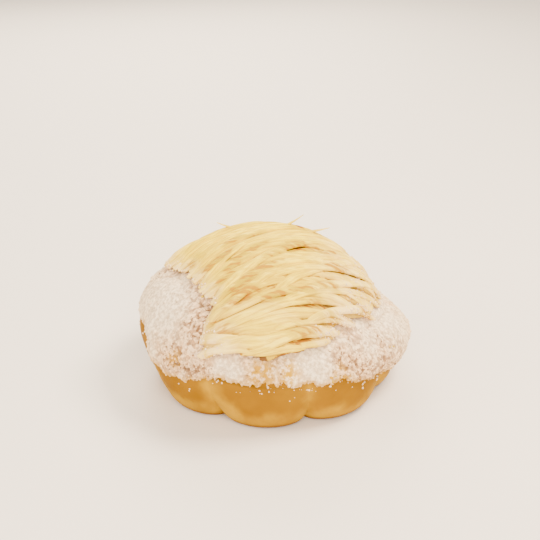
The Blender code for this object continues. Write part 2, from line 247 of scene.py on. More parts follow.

# Riper, deeper yellow stretches of the cheese, where painted shade strokes of the gaps also lie: x, y,
# half length, half width and strength.
RIPE_AND_GAP_SHADE_STRETCHES = (
    (-0.033, -0.006, 0.0060, 0.0025, 0.9),
    (-0.021, -0.014, 0.0080, 0.0024, 1.0),
    (-0.016, -0.003, 0.0065, 0.0018, 1.0),
    (-0.015, -0.019, 0.0060, 0.0018, 1.0),
    (-0.009, -0.012, 0.0090, 0.0018, 1.0),
    (0.000, -0.016, 0.0060, 0.0018, 0.8),
    (0.008, -0.008, 0.0060, 0.0028, 1.0),
    (0.015, -0.007, 0.0060, 0.0022, 0.8),
    (0.022, -0.006, 0.0050, 0.0016, 1.0),
    (-0.002, -0.023, 0.0080, 0.0030, 1.0),
    (-0.018, -0.025, 0.0060, 0.0018, 1.0),
    (-0.011, -0.031, 0.0080, 0.0024, 1.0),
    (-0.012, -0.037, 0.0090, 0.0030, 0.9),
    (0.025, -0.014, 0.0080, 0.0022, 0.9),
    (0.000, -0.037, 0.0080, 0.0022, 0.9),
    (0.011, -0.032, 0.0090, 0.0020, 0.9),
    (0.021, -0.025, 0.0060, 0.0022, 0.8),
    (0.016, -0.034, 0.0060, 0.0020, 0.7),
    (0.036, -0.022, 0.0040, 0.0018, 0.8),
    (0.024, -0.035, 0.0060, 0.0024, 0.7),
    (0.012, -0.045, 0.0070, 0.0020, 0.9),
    (-0.018, -0.046, 0.0070, 0.0018, 0.7),
    (-0.007, 0.000, 0.0060, 0.0016, 0.9),
    (0.014, 0.012, 0.0090, 0.0024, 0.5),
    (-0.012, 0.014, 0.0080, 0.0024, 0.5),
    (0.004, 0.022, 0.0080, 0.0026, 0.5),
)

# Detail of the finished meshes.
ROUND_STEPS = 540
FOOT_STEPS = 14
SIDE_STEPS = 64
DOME_STEPS = 56
COAT_STEPS = 140
COAT_INNER_STEPS = 14
CORE_STEPS = 120
CORE_LEVELS = 24
SWELLS = 220.0  # uneven places along a strand, to the metre
CRUMB_SHAPES = ((0.7, 0.6, 0.5), (1.2, 1.1, 0.9))
SHRED_SWEEP = {"step": 0.0011, "sides": 10, "taper": 0.0030, "end_share": 0.50, "unevenness": 0.25}
LOOSE_SWEEP = SHRED_SWEEP | {"taper": 0.0070, "end_share": 0.30, "unevenness": 0.15}
CRUST_RELIEF = {"lump_size": 0.012, "lump_depth": 0.0008, "crumb_size": 0.0030, "crumb_depth": 0.0001}
COAT_RELIEF = {"lump_size": 0.0035, "lump_depth": 0.0016, "crumb_size": 0.0015, "crumb_depth": 0.0012}
SUGAR_CRUMBS = {"per_square_metre": 900000.0, "smallest": 0.0004, "largest": 0.0014, "seed": 3}
BROWN_FLAKES = {"per_square_metre": 300000.0, "smallest": 0.0004, "largest": 0.0011, "seed": 5}
CHEESE_BITS = {"per_square_metre": 500000.0, "smallest": 0.0008, "largest": 0.0020, "seed": 7}

# Colours.
# brown near the floor: the bottom's baked brown, and painted shade under the bun
BAKED_AND_SHADED_UNDERSIDE = (0.17, 0.055, 0.004)
THICK_SUGAR = (0.97, 0.79, 0.56)
BUTTERY_SUGAR = (0.84, 0.52, 0.27)
SHADED_SUGAR = (0.42, 0.28, 0.16)
THIN_SUGAR = (0.52, 0.29, 0.05)
BARE_BREAD = (0.55, 0.29, 0.002)
RIPE_CHEESE = (0.50, 0.34, 0.0004)
# painted highlight on the crests of the shreds
PAINTED_CREST_HIGHLIGHT = (0.97, 0.74, 0.06)
DUSTED_CHEESE = (0.93, 0.69, 0.36)
# painted shade in the grooves between the shreds
PAINTED_GROOVE_SHADE = (0.46, 0.26, 0.0004)
# painted shade: short orange strokes in the gaps, where the ripe stretches lie
PAINTED_GAP_STROKE = (0.40, 0.17, 0.0003)
# painted shade in the gaps between the shreds, darkest in the deepest ones
PAINTED_GAP_SHADE = (0.32, 0.110, 0.0003)
PAINTED_DEEPEST_SHADE = (0.16, 0.07, 0.02)
BROWN_CRUMBS = ((0.34, 0.20, 0.10), (0.13, 0.07, 0.04))
TABLE = (0.78, 0.70, 0.63)

# Two colours, or a mask's 0 and 1, in soft clouds of a size and a sharpness.
PALE_CRUST = ((0.44, 0.240, 0.0015), (0.33, 0.160, 0.0005), 0.012, 0.3)
DEEP_CRUST = ((0.205, 0.088, 0.0001), (0.25, 0.112, 0.0002), 0.020, 0.4)
CREAM = ((0.98, 0.78, 0.52), (0.92, 0.64, 0.35), 0.0030, 0.5)
# brown in the coat's hollows: soaked butter where it is mottled, and painted shade in every hollow
SOAKED_AND_SHADED_HOLLOWS = ((0.50, 0.29, 0.14), (0.22, 0.11, 0.05), 0.0020, 0.7)
SPECKLE = ((0, 0, 0), (1, 1, 1), 0.0013, 0.45)
YOUNG_CHEESE = ((0.97, 0.710, 0.012), (0.68, 0.440, 0.001), 0.8, 0.6)  # in strand coordinates
CHEESE_BANDS = ((0, 0, 0), (1, 1, 1), 1.0, 0.55)  # in turned and stretched coordinates
CHEESE_SPOTS = ((0, 0, 0), (1, 1, 1), 0.45, 0.75)

# Patterns: a grain's size and depth, and how coordinates are turned and stretched.
CRUST_GRAIN = (0.0012, 0.00010)
SUGAR_GRAIN = (0.0007, 0.00035)
CHEESE_GRAIN = (1.2, 0.00010)  # in strand coordinates
STRAND_SCALE = (90.0, 9.0, 100.0)  # along a strand, round it, and from one strand to the next
BAND_TURN = -0.47  # the bands in the cheese run about as the shreds do
BAND_SCALE = (55.0, 420.0, 120.0)
UNDERSIDE_FADE = (0.0003, 0.0040)  # heights over which the underside's baked brown and painted shade give way to the side's gold

# Studio.
MIDDLE = Vector((0, 0, 0.028))
FLOOR_REACH = 3.0
AIR = (1.0, 0.92, 0.80)  # the light from all sides
LIGHTS = (  # name, place, size, power and colour
    ("key", (0.35, 0.05, 0.60), 0.30, 12.0, (1.0, 0.87, 0.68)),
    ("front", (0.05, -0.65, 0.42), 0.50, 12.0, (1.0, 0.89, 0.72)),
    ("fill", (-0.55, -0.20, 0.30), 0.40, 4.0, (1.0, 0.88, 0.70)),
    ("back", (-0.10, 0.60, 0.35), 0.45, 7.0, (1.0, 0.89, 0.72)),
)
LENS = 85
CAMERA_ELEVATION = math.radians(26)
CAMERA_DISTANCE = 0.52
CAMERA_TARGET = (-0.001, 0, 0.0465)


def smooth(low, high, value):
    """0 below low, 1 above high, and an even S-curve between."""
    share = min(1.0, max(0.0, (value - low) / (high - low)))
    return share * share * (3 - 2 * share)


def ring_angles(steps):
    """Even angles round a ring."""
    return [math.tau * step / steps for step in range(steps)]


def ring_point(radius, angle, height):
    """The point of a ring at an angle."""
    return Vector((radius * math.cos(angle), radius * math.sin(angle), height))


def ring_span(marks, angle):
    """The two marks of a ring, in degrees, that an angle lies between, and how far along."""
    turned = math.degrees(angle) % 360
    after = sum(mark <= turned for mark in marks) % len(marks)
    low, high = marks[after - 1], marks[after]
    return after - 1, after, ((turned - low) % 360) / ((high - low) % 360)


def round_value(table, angle):
    """Reads between the values that a table gives at some degrees of a ring."""
    before, after, share = ring_span([mark for mark, _ in table], angle)
    blend = smooth(0, 1, share)
    return table[before][1] * (1 - blend) + table[after][1] * blend


def layered_noise(place, *finer):
    """Noise at a place, with finer layers added, each a scale and a strength."""
    layers = (strength * noise.noise(place * scale) for scale, strength in finer)
    return sum(layers, noise.noise(place))


def flute(angle):
    """1 on the crest of a lobe and 0 in the valley between two lobes."""
    share = ring_span(VALLEYS, angle)[2]
    softened = math.hypot(math.sin(math.pi * share), FLUTE_SOFTNESS) - FLUTE_SOFTNESS
    crest = math.hypot(1, FLUTE_SOFTNESS) - FLUTE_SOFTNESS
    return (softened / crest) ** FLUTE_BREADTH


def lip(angle):
    """How far the dome hangs over the fluted side at this angle."""
    facing = max(0.0, math.cos(angle - LIP_ANGLE))
    return LIP * facing**6


def coil(angle, turn_share):
    """Depth of the groove that the rolled dough leaves, where turn_share is 0 at the apex."""
    phase = (turn_share * COIL_TURNS * 2 * math.pi - angle) / 2
    groove = math.exp(-((math.cos(phase) / COIL_WIDTH) ** 2))
    return COIL_DEPTH * groove * smooth(0.25, 0.5, turn_share)


def settle(point):
    """The bun's sag to the right and the lean of its apex, which leave the foot flat."""
    rise = point.z / BUN_HEIGHT
    sagged = point.z * (1 - SLUMP * point.x * (1 - rise**3))
    sagged -= SLACK * smooth(0, 0.040, point.x) * smooth(0.4, 0.7, rise)
    sagged -= LEFT_SLACK * smooth(-0.012, -0.040, point.x) * smooth(0.45, 0.65, rise)
    return Vector((point.x + LEAN * smooth(0, 0.4, rise), point.y, sagged))


def side_point(angle, height_share):
    """A point of the fluted side, from the foot at 0 to the rim at 1."""
    height = RIM_HEIGHT * height_share
    bulge = math.sqrt(1 - (1 - height_share) ** 2)
    radius = FOOT_RADIUS + (RIM_RADIUS - FOOT_RADIUS) * bulge
    radius *= 1 - FLUTE_DEPTH * math.exp(-height / FLUTE_FADE) * (1 - flute(angle))
    radius += lip(angle) * smooth(0.35, 0.9, height_share)
    return settle(ring_point(radius, angle, height))


def dome_point(angle, rise, folds=1.0):
    """A point of the dome, from the rim at 0 to the apex at 1. With folds at 0 it is even."""
    turn = rise * math.pi / 2
    groove = folds * coil(angle, 1 - rise)
    faint = FLUTE_DEPTH * math.exp(-RIM_HEIGHT / FLUTE_FADE) * (1 - flute(angle)) * (1 - rise)
    radius = RIM_RADIUS * (1 - faint * folds) + lip(angle) * (1 - rise) ** 2
    height = RIM_HEIGHT + (BUN_HEIGHT - RIM_HEIGHT - groove) * math.sin(turn)
    return settle(ring_point((radius - groove) * math.cos(turn), angle, height))


def even_dome(angle, rise):
    """A point of the dome without the coil's groove and the valleys, which the heap bridges."""
    return dome_point(angle, rise, folds=0.0)


def bun_point(angle, climb):
    """A point of the bun's skin. climb runs from -1 at the foot to 0 at the rim and 1 at the apex."""
    if climb >= 0:
        return dome_point(angle, climb)
    return side_point(angle, 1 - math.cos((1 + climb) * math.pi / 2))


def outward(surface, angle, climb):
    """The unit normal of a surface function that takes an angle and a climb."""
    step = 0.01
    low, high = max(-1.0, climb - step), min(1.0 - step, climb + step)
    around = surface(angle + step, (low + high) / 2) - surface(angle - step, (low + high) / 2)
    upward = surface(angle, high) - surface(angle, low)
    return around.cross(upward).normalized()


def coat_edge(angle):
    """The climb at which the coat's lower edge lies, with its wide bends."""
    ragged = layered_noise(ring_point(1, angle, 0.3) * 4.5, (2.3, 0.6))
    height = round_value(COAT_EDGE, angle) + COAT_EDGE_RAGGED * ragged
    if height < RIM_HEIGHT:
        return 2 / math.pi * math.acos(1 - height / RIM_HEIGHT) - 1
    return 2 / math.pi * math.asin((height - RIM_HEIGHT) / (BUN_HEIGHT - RIM_HEIGHT))


def crumbled_edge(angle):
    """The coat's edge with the small bites and blobs that its crumbs make."""
    bites = layered_noise(ring_point(1, angle, 0.7) * 18, (2.7, 0.8), (6, 0.7))
    moved = CRUMBLED_EDGE * bites
    for degrees, half_width, height in EDGE_NOTCHES:
        away = (math.degrees(angle) - degrees + 180) % 360 - 180
        moved += height * math.exp(-((away / half_width) ** 2))
    return coat_edge(angle) + moved / (BUN_HEIGHT - RIM_HEIGHT)


def coat_thickness(angle, climb):
    """The coat's depth, which is lumpy and thins towards its edge."""
    lumps = layered_noise(bun_point(angle, climb) * 70, (2.1, 0.5))
    above_edge = smooth(0, 0.25, climb - coat_edge(angle))
    return (COAT_THICKNESS + COAT_LUMPS * lumps) * (0.55 + 0.45 * above_edge)


def heap_reach(x, y):
    """0 at the middle of the heap and 1 on its outline."""
    across, back = x - HEAP_CENTRE[0], y - HEAP_CENTRE[1]
    return math.hypot(across, back) / round_value(HEAP_OUTLINE, math.atan2(back, across))


def fullness(x):
    """How thick the heap is at a place across it, as a share of its thickness in the middle."""
    return 1 - THINNER * smooth(-0.012, -0.035, x)


def edge_course(x, y):
    """The way that the heap's outline runs beside a place in plan, in degrees."""
    step = 0.0005
    across = heap_reach(x + step, y) - heap_reach(x - step, y)
    back = heap_reach(x, y + step) - heap_reach(x, y - step)
    return math.degrees(math.atan2(across, -back))


def heading(x, y):
    """The way that the shreds run in plan: slanting back, more so on the left, and along the front."""
    left = math.exp(-(((x - STEEP_PLACE) / STEEP_REACH) ** 2)) * smooth(-0.040, -0.030, y)
    slant = SLANT + STEEPER * left
    in_front = smooth(-0.020, -0.036, y) * smooth(0.026, 0.008, x)
    by_edge = smooth(0.72, 0.95, heap_reach(x, y)) * in_front
    return math.radians(slant + (max(FRONT_SLANT, edge_course(x, y)) - slant) * by_edge)


def over_coat(x, y, lift):
    """The point at a height over the coat, measured along the dome's normal, and the normal."""
    angle = math.atan2(y, x)
    share = min(0.995, math.hypot(x, y) / (RIM_RADIUS + lip(angle)))
    rise = 2 / math.pi * math.acos(share)
    normal = outward(even_dome, angle, rise)
    return even_dome(angle, rise) + normal * (CLEARANCE + COAT_THICKNESS + lift), normal


# Meshes.


def add_piece(name, mesh):
    """Puts a mesh in the scene as an object at the origin."""
    piece = bpy.data.objects.new(name, mesh)
    bpy.context.scene.collection.objects.link(piece)
    return piece


def set_values(mesh, **values):
    """Keeps numbers on the vertices, for the materials and the node trees to read."""
    for name, numbers in values.items():
        layer = mesh.attributes.new(name, "FLOAT", "POINT")
        layer.data.foreach_set("value", np.ascontiguousarray(numbers, np.float32))


def values_of(mesh, name):
    """The numbers that a mesh's vertices keep."""
    found = np.empty(len(mesh.vertices), np.float32)
    mesh.attributes[name].data.foreach_get("value", found)
    return found


def positions(mesh):
    """The vertices of a mesh as an array."""
    found = np.empty(len(mesh.vertices) * 3, np.float32)
    mesh.vertices.foreach_get("co", found)
    return found.reshape(-1, 3)


def rings_to_mesh(name, first, rings, last):
    """A closed mesh from a lowest point, rings of points from below, and a topmost point."""
    steps = len(rings[0])
    points = [first, *(point for ring in rings for point in ring), last]
    faces = []
    for step in range(steps):
        following = (step + 1) % steps
        faces.append((0, 1 + following, 1 + step))
        for low in range(1, len(points) - 1 - steps, steps):
            high = low + steps
            faces.append((low + step, low + following, high + following, high + step))
        top = len(points) - 1 - steps
        faces.append((top + step, top + following, len(points) - 1))
    mesh = bpy.data.meshes.new(name)
    mesh.from_pydata(points, [], faces)
    mesh.shade_smooth()
    return mesh


def patchwork(points, patches):
    """How strongly some soft round patches of the bun cover each point, from 0 to 1."""
    wander = np.array([noise.noise_vector(Vector(point) * 160) for point in points])
    moved = points + 0.0014 * wander
    covered = np.zeros(len(points))
    for degrees, climb, reach, strength in patches:
        centre = np.array(bun_point(math.radians(degrees), climb))
        away = np.linalg.norm(moved - centre, axis=1) / reach
        covered = np.maximum(covered, strength * np.clip(1.6 - 1.2 * away, 0, 1))
    return covered


def ripeness(points):
    """How deep the cheese's yellow is at each point, from 0 to 1, which also places the painted shade
    strokes of the gaps.
    """
    found = np.zeros(len(points))
    wander = np.array([noise.noise(Vector(point) * 300) for point in points])
    for x, y, half_length, half_width, strength in RIPE_AND_GAP_SHADE_STRETCHES:
        course = heading(x, y)
        across, back = points[:, 0] - x, points[:, 1] - y
        along = (across * math.cos(course) + back * math.sin(course)) / half_length
        beside = (back * math.cos(course) - across * math.sin(course)) / half_width
        away = np.hypot(along, beside) + 0.35 * wander
        found = np.maximum(found, strength * np.clip(1.7 - 1.3 * away, 0, 1))
    return found


def crust_mesh():
    """The bun, finer than its CAD solid."""
    angles = ring_angles(ROUND_STEPS)
    edges = [crumbled_edge(angle) for angle in angles]
    crests = [flute(angle) for angle in angles]
    foot = [bun_point(angle, -1) for angle in angles]
    climbs = [-1 + k / SIDE_STEPS for k in range(SIDE_STEPS)]
    climbs += [k / DOME_STEPS for k in range(DOME_STEPS)]
    rings = [[point * k / FOOT_STEPS for point in foot] for k in range(1, FOOT_STEPS)]
    rings += [[bun_point(angle, climb) for angle in angles] for climb in climbs]
    browning, relief, dusted = [0.0], [0.0], [0.0]
    for ring, climb in zip(rings, [-1] * (FOOT_STEPS - 1) + climbs):
        for point, crest, edge in zip(ring, crests, edges):
            browning.append(smooth(0.003, 0.013, point.z) * (0.25 + 0.75 * crest))
            relief.append(smooth(0.0004, 0.004, point.z))
            below = (edge - climb) * (BUN_HEIGHT - RIM_HEIGHT)
            dusted.append(math.exp(-below / DUSTED_BAND) if below > 0 else 0.0)
    mesh = rings_to_mesh("crust", Vector((0, 0, 0)), rings, bun_point(0, 1))
    pale = patchwork(positions(mesh), PALE_PATCHES)
    browning = np.array(browning + [1.0]) * (1 - pale)
    set_values(mesh, browning=browning, relief=relief + [1.0], dusted=dusted + [0.0])
    return mesh


def coat_ring(angles, edges, share, clearance, rounding):
    """A ring of the coat, at a share of the way from its edge to the apex."""
    ring = []
    for angle, edge in zip(angles, edges):
        climb = edge + (1 - edge) * share
        depth = clearance + coat_thickness(angle, climb) * rounding
        ring.append(bun_point(angle, climb) + outward(bun_point, angle, climb) * depth)
    return ring


def coat_mesh():
    """The coat as a closed shell: its inner face, its rounded edge and its lumpy outer face."""
    angles = ring_angles(ROUND_STEPS)
    edges = [crumbled_edge(angle) for angle in angles]
    inner = [k / (COAT_INNER_STEPS + 1) for k in range(COAT_INNER_STEPS, -1, -1)]
    outer = [(k / COAT_STEPS) ** 1.5 for k in range(COAT_STEPS)]
    rings = [coat_ring(angles, edges, share, INNER_CLEARANCE, 0.0) for share in inner]
    for share in outer:
        rounding = math.sqrt(1 - (1 - min(1, 0.06 + share / EDGE_ROUNDING)) ** 2)
        rings.append(coat_ring(angles, edges, share, CLEARANCE, rounding))
    low = bun_point(0, 1) + Vector((0, 0, INNER_CLEARANCE))
    high = bun_point(0, 1) + Vector((0, 0, CLEARANCE + coat_thickness(0, 1)))
    mesh = rings_to_mesh("sugar_layer", low, rings, high)
    outside = [0.0] * len(inner) + [smooth(0, 0.02, share) for share in outer]
    thin = [0.0] * len(inner) + [1 - smooth(0, THIN_REACH, share) for share in outer]
    outside, thin = np.repeat(outside, ROUND_STEPS), np.repeat(thin, ROUND_STEPS)
    points = positions(mesh)
    white = patchwork(points, WHITE_PATCHES)
    mottled = patchwork(points, MOTTLED_PATCHES) * (1 - 0.7 * white)
    relief = np.array([0.0, *outside, 1.0]) * (0.7 + 0.5 * mottled) * (1 - 0.35 * white)
    set_values(mesh, bare=patchwork(points, BARE_PATCHES), mottled=mottled, white=white)
    set_values(mesh, thin=[0.0, *thin, 0.0], relief=relief)
    return mesh


def course_at(path, k):
    """The way that a path runs at one of its points."""
    return (path[min(k + 1, len(path) - 1)] - path[max(k - 1, 0)]).normalized()


class Pile:
    """How high the shreds laid so far stand over the coat, on a grid in plan."""

    def __init__(self):
        places = [k * PILE_CELL - PLAN_HALF for k in range(int(2 * PLAN_HALF / PILE_CELL))]
        self.top = np.array([[core_top(x, y) for x in places] for y in places])
        self.inside = np.array([[heap_reach(x, y) < 0.9 for x in places] for y in places])
        self.floor = self.top.copy()

    def barest(self):
        """The place in plan with the most bare core round it, if it is a bare spot."""
        bare = (self.inside & (self.top < self.floor + BARE_LAYER)).astype(float)
        window = np.ones(BARE_WINDOW) / BARE_WINDOW
        for axis in (0, 1):
            bare = np.apply_along_axis(np.convolve, axis, bare, window, "same")
        row, column = np.unravel_index(np.argmax(bare), bare.shape)
        if bare[row, column] < BARE_SHARE:
            return None
        return Vector((column * PILE_CELL - PLAN_HALF, row * PILE_CELL - PLAN_HALF))

    def cells(self, place, course, half_width):
        """The grid cells under a shred's cross-section, and how far each is from its middle."""
        offsets = np.arange(-half_width, half_width + PILE_CELL, PILE_CELL)
        columns = ((place.x - course.y * offsets + PLAN_HALF) / PILE_CELL).astype(int)
        rows = ((place.y + course.x * offsets + PLAN_HALF) / PILE_CELL).astype(int)
        return rows, columns, offsets / half_width

    def lay(self, path, lifts, width, thickness):
        """Adds a shred to the pile."""
        for (here, lift), (there, next_lift) in zip(zip(path, lifts), zip(path[1:], lifts[1:])):
            course = (there - here).normalized()
            steps = max(2, int((there - here).length / PILE_CELL))
            for k in range(steps):
                height = lift + (next_lift - lift) * k / steps
                rows, columns, away = self.cells(here.lerp(there, k / steps), course, width / 2)
                rounded = height + thickness * np.sqrt(np.clip(1 - away**2, 0.0, 1))
                np.maximum.at(self.top, (rows, columns), rounded)

    def rest(self, path, width):
        """The heights at which a new shred comes to rest along a path."""
        found = []
        for k, place in enumerate(path):
            rows, columns, _ = self.cells(place, course_at(path, k), width / 2)
            found.append(float(np.mean(self.top[rows, columns])))
        found = np.array([found[0], found[0], *found, found[-1], found[-1]])
        return np.maximum(np.convolve(found, BENDING, "valid"), found[2:-2] - MOST_PRESS)


def lane(start, off_course):
    """Plan points of a lane that follows the heading through a start and crosses the heap."""
    points = [start]
    for way in (1, -1):
        while True:
            last = points[-1] if way == 1 else points[0]
            course = heading(last.x, last.y) + off_course
            moved = last + Vector((math.cos(course), math.sin(course))) * LANE_STEP * way
            if heap_reach(moved.x, moved.y) > 1:
                break
            points = [*points, moved] if way == 1 else [moved, *points]
    return points


def lane_part(points, first, steps):
    """The stations of one shred, on so many steps of a lane from the first."""
    return [points[first + round(steps * k / (STATIONS - 1))] for k in range(STATIONS)]


def lay_shred(pile, draw, path, widths):
    """Lays one shred on the pile, and gives its path, lifts, width, thickness and roll."""
    width = draw.uniform(*widths)
    roll = math.radians(draw.gauss(0, SHRED_ROLL))
    thickness = width * FLATNESS
    inward = np.array([smooth(0, 3, min(k, STATIONS - 1 - k)) for k in range(STATIONS)])
    lifts = pile.rest(path, width) - thickness * (END_PRESS - EASED_PRESS * inward)
    lifts = np.maximum(lifts, END_LIFT + (LOWEST_LIFT - END_LIFT) * inward)
    pile.lay(path, lifts, width, thickness)
    return path, list(lifts), width, thickness, roll


def laid_shreds(pile, seed, count, widths, lengths, wander):
    """Shreds laid on the pile one after another, spread over the heap evenly."""
    draw = random.Random(seed)
    found = []
    for index in range(count):
        length = draw.uniform(*lengths)
        start = Vector(HEAP_SPINE[0]).lerp(Vector(HEAP_SPINE[1]), index * SPREAD_ACROSS % 1)
        points = lane(start, math.radians(draw.gauss(0, wander)))
        steps = min(len(points) - 1, int(length / LANE_STEP))
        place = min(1, max(0, 1.3 * (index * SPREAD_ALONG % 1) - 0.15))
        path = lane_part(points, int(place * (len(points) - 1 - steps)), steps)
        found.append(lay_shred(pile, draw, path, widths))
    return found


def patching_shreds(pile, seed):
    """Shreds laid over the spots where the core would still show, the barest spot first."""
    draw = random.Random(seed)
    found = []
    while len(found) < PATCH_COUNT and (spot := pile.barest()):
        points = lane(spot, math.radians(draw.gauss(0, SHRED_WANDER)))
        middle = min(range(len(points)), key=lambda k: (points[k] - spot).length)
        steps = min(len(points) - 1, int(draw.uniform(*THIN_LENGTHS) / LANE_STEP))
        first = max(0, min(len(points) - 1 - steps, middle - steps // 2))
        path = lane_part(points, first, steps)
        found.append(lay_shred(pile, draw, path, BROAD_WIDTHS))
    return found


def wisps():
    """The thin shreds that leave the top of the heap and end in the air."""
    found = []
    shares = [k / WISP_STEPS for k in range(WISP_STEPS + 1)]
    rest = HEAP_LIFT + HEAP_CORE + WISP_REST
    for start, tip, lift in WISPS:
        path = [Vector(start).lerp(Vector(tip), share) for share in shares]
        lifts = [rest + (lift - WISP_REST) * share**2 for share in shares]
        found.append((path, lifts, WISP_WIDTH, WISP_THICKNESS, 0.0))
    return found


def strand_mesh(shreds):
    """The middle lines of the shreds, with each point's width, facing and tone."""
    draw = random.Random(SEED + 2)
    points, edges, facing, widths, tones = [], [], [], [], []
    for path, lifts, width, thickness, roll in shreds:
        widths += [width] * len(path)
        tones += [draw.random()] * len(path)
        for k, (place, lift) in enumerate(zip(path, lifts)):
            centre, normal = over_coat(place.x, place.y, lift + thickness / 2)
            across = normal.cross(course_at(path, k).to_3d()).normalized()
            if k:
                edges.append((len(points) - 1, len(points)))
            points.append(centre)
            facing.append(normal * math.cos(roll) - across * math.sin(roll))
    mesh = bpy.data.meshes.new("strands")
    mesh.from_pydata(points, edges, [])
    set_values(mesh, width=widths, tone=tones)
    layer = mesh.attributes.new("facing", "FLOAT_VECTOR", "POINT")
    layer.data.foreach_set("vector", np.array(facing, np.float32).ravel())
    return mesh


def core_top(x, y):
    """The height of the heap's core over the coat at a place in plan."""
    inner = heap_reach(x, y) / CORE_SPREAD
    if inner >= 1:
        return 0.0
    back_right = RIGHT_RISE * smooth(0.002, 0.022, x) * smooth(-0.020, -0.002, y)
    height = (HEAP_CORE + CORE_RISE + back_right) * fullness(x)
    return HEAP_LIFT + height * math.sqrt(1 - inner**2)


def core_point(angle, reach, share):
    """A point between the core's underside at 0 and its top at 1."""
    radius = reach * round_value(HEAP_OUTLINE, angle)
    across, back = radius * math.cos(angle), radius * math.sin(angle)
    place = Vector((HEAP_CENTRE[0] + across, HEAP_CENTRE[1] + back))
    lift = HEAP_LIFT + share * max(0.0, core_top(place.x, place.y) - HEAP_LIFT)
    return over_coat(place.x, place.y, lift)[0]


def core_mesh():
    """The body of the heap under the shreds, a thick cap that follows the coat."""
    angles = ring_angles(CORE_STEPS)
    turns = [math.pi / 2 * level / CORE_LEVELS for level in range(1, CORE_LEVELS + 1)]
    reaches = [CORE_SPREAD * math.sin(turn) for turn in turns]
    rings = [[core_point(angle, reach * 0.999, 0.0) for angle in angles] for reach in reaches]
    rings += [[core_point(angle, reach, 1.0) for angle in angles] for reach in reversed(reaches)]
    mesh = rings_to_mesh("cheese_core", core_point(0, 0, 0.0), rings, core_point(0, 0, 1.0))
    set_values(mesh, tone=np.full(len(mesh.vertices), 0.3))
    return mesh


# Node trees.


def new_tree(name, kind, inputs, outputs):
    """A node tree with named sockets, and the sockets that its own nodes hold."""
    tree = bpy.data.node_groups.new(name, kind)
    for in_out, kinds in (("INPUT", inputs), ("OUTPUT", outputs)):
        for socket, holds in kinds.items():
            tree.interface.new_socket(socket, in_out=in_out, socket_type="NodeSocket" + holds)
    given = tree.nodes.new("NodeGroupInput")
    result = tree.nodes.new("NodeGroupOutput")
    return tree, given.outputs, result.inputs


def new_geometry_tree(name, sizes, counts=()):
    """A Geometry Nodes tree that takes a mesh, named sizes and counts, and a material."""
    inputs = {"geometry": "Geometry", "finish": "Material"}
    inputs |= dict.fromkeys(sizes, "Float") | dict.fromkeys(counts, "Int")
    return new_tree(name, "GeometryNodeTree", inputs, {"geometry": "Geometry"})


def fill(tree, node, inputs):
    """Fills a node's inputs by values or by other nodes' outputs."""
    for key, value in inputs.items():
        socket = node.inputs[key]
        if isinstance(value, bpy.types.NodeSocket):
            tree.links.new(value, socket)
        else:
            socket.default_value = (*value, 1) if socket.type == "RGBA" else value


def add(tree, kind, inputs=None, **settings):
    """Adds a node with its settings and its inputs."""
    node = tree.nodes.new(kind)
    for name, value in settings.items():
        setattr(node, name, value)
    fill(tree, node, inputs or {})
    return node


def maths(tree, operation, first, second=0.0, third=0.0):
    """The output of a Math node."""
    inputs = {0: first, 1: second, 2: third}
    return add(tree, "ShaderNodeMath", inputs, operation=operation).outputs[0]


def product(tree, first, *others):
    """Numbers multiplied."""
    for other in others:
        first = maths(tree, "MULTIPLY", first, other)
    return first


def linear(tree, value, factor, start):
    """A number times a factor, on top of a start."""
    return maths(tree, "MULTIPLY_ADD", value, factor, start)


def scaled(tree, vector, factor):
    """A vector times a number."""
    inputs = {0: vector, "Scale": factor}
    return add(tree, "ShaderNodeVectorMath", inputs, operation="SCALE").outputs[0]


def stretch(tree, value, low, high, to_low=0.0, to_high=1.0):
    """A value moved smoothly from one range to another, and held inside it."""
    inputs = {"Value": value, "From Min": low, "From Max": high, "To Min": to_low, "To Max": to_high}
    node = add(tree, "ShaderNodeMapRange", inputs, interpolation_type="SMOOTHSTEP")
    return node.outputs["Result"]


def clouds(tree, scale, detail, roughness=0.5, vector=None):
    """A noise texture."""
    inputs = {"Scale": scale, "Detail": detail, "Roughness": roughness}
    if vector is not None:
        inputs["Vector"] = vector
    return add(tree, "ShaderNodeTexNoise", inputs).outputs[0]


def blended(tree, share, first, second):
    """The mix of two colours."""
    inputs = {0: share, 6: first, 7: second}
    return add(tree, "ShaderNodeMix", inputs, data_type="RGBA").outputs[2]


def layered(tree, colour, *layers):
    """A colour under some layers, each a share and a colour, the last one on top."""
    for share, over in layers:
        colour = blended(tree, share, colour, over)
    return colour


def reading(tree, name, data_type="FLOAT"):
    """A Geometry Nodes reading of a number that a vertex keeps."""
    node = add(tree, "GeometryNodeInputNamedAttribute", {"Name": name}, data_type=data_type)
    return node.outputs["Attribute"]


def stored(tree, geometry, name, value):
    """A geometry whose vertices keep a number under a name."""
    inputs = {"Geometry": geometry, "Name": name, "Value": value}
    return add(tree, "GeometryNodeStoreNamedAttribute", inputs).outputs[0]


def random_vector(tree, low, high, seed):
    """A random vector for each crumb."""
    inputs = {"Min": low, "Max": high, "Seed": seed}
    return add(tree, "FunctionNodeRandomValue", inputs, data_type="FLOAT_VECTOR").outputs[0]


def run_tree(piece, tree, **values):
    """Runs a Geometry Nodes tree on a piece and keeps the result as a plain mesh."""
    sockets = {item.name: item.identifier for item in tree.interface.items_tree}
    modifier = piece.modifiers.new(tree.name, "NODES")
    modifier.node_group = tree
    for name, value in values.items():
        modifier[sockets[name.replace("_", " ")]] = value
    graph = bpy.context.evaluated_depsgraph_get()
    made = bpy.data.meshes.new_from_object(
        piece.evaluated_get(graph), preserve_all_data_layers=True, depsgraph=graph
    )
    piece.modifiers.remove(modifier)
    made.name = piece.name
    piece.data = made


